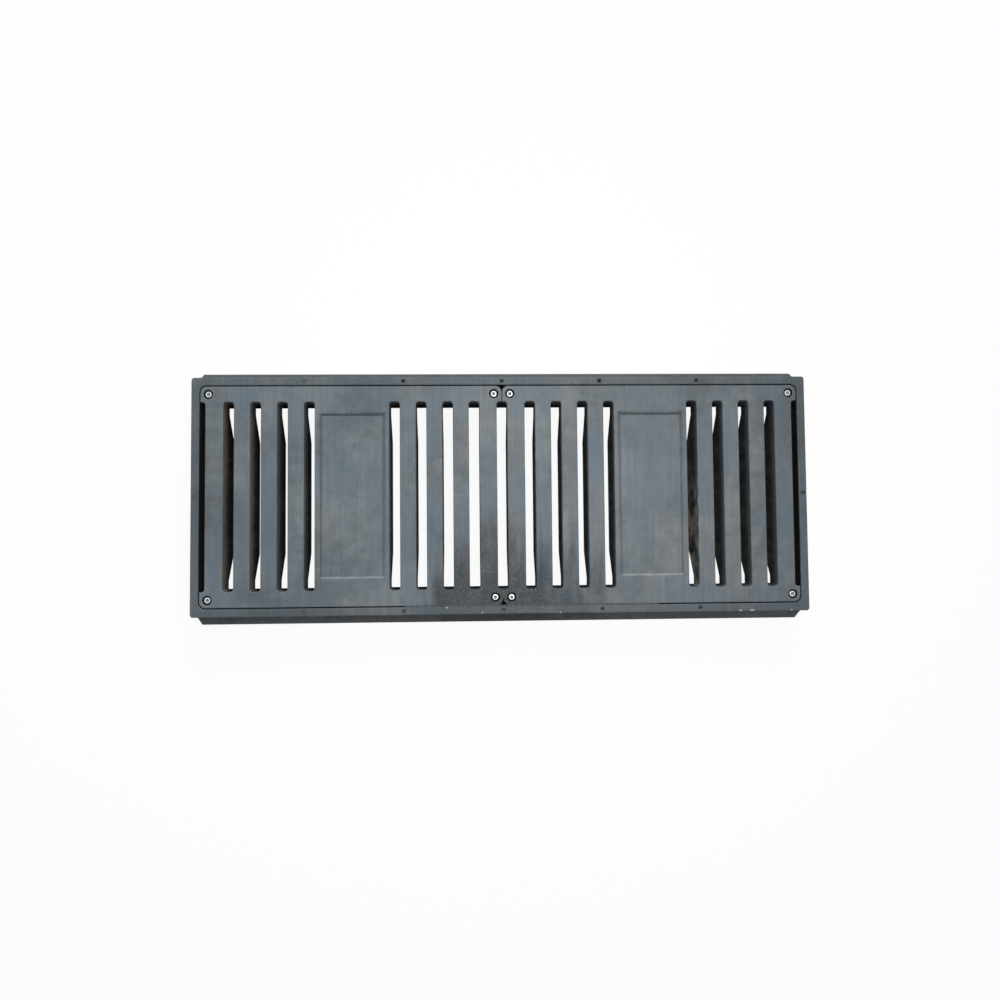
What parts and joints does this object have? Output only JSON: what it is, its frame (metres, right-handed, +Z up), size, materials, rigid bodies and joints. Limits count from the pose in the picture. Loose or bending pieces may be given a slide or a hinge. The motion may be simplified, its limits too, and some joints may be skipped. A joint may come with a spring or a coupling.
{
  "type": "trench drain grate with frame",
  "caption": "Rectangular trench drain cover: a moulded frame with a flared foot holds slotted grates side by side, screwed down at their corners, with fish-bellied bars and a bare label panel.",
  "frame": {"origin": "on the ground under the middle of the frame", "axes": "+X along the trench, +Y across the trench towards the far side, +Z up"},
  "size_m": [1, 0.42, 0.072],
  "materials": {
    "frame_composite": "matte moulded slate-grey composite",
    "grate_composite": "matte moulded slate-grey composite",
    "stainless_steel": "turned stainless steel",
    "brass": "turned brass"
  },
  "bodies": {
    "root": {"frame": "frame_composite", "grate_left": "grate_composite", "grate_right": "grate_composite", "grate_screws": "stainless_steel", "threaded_inserts": "brass"}
  },
  "joints": []
}
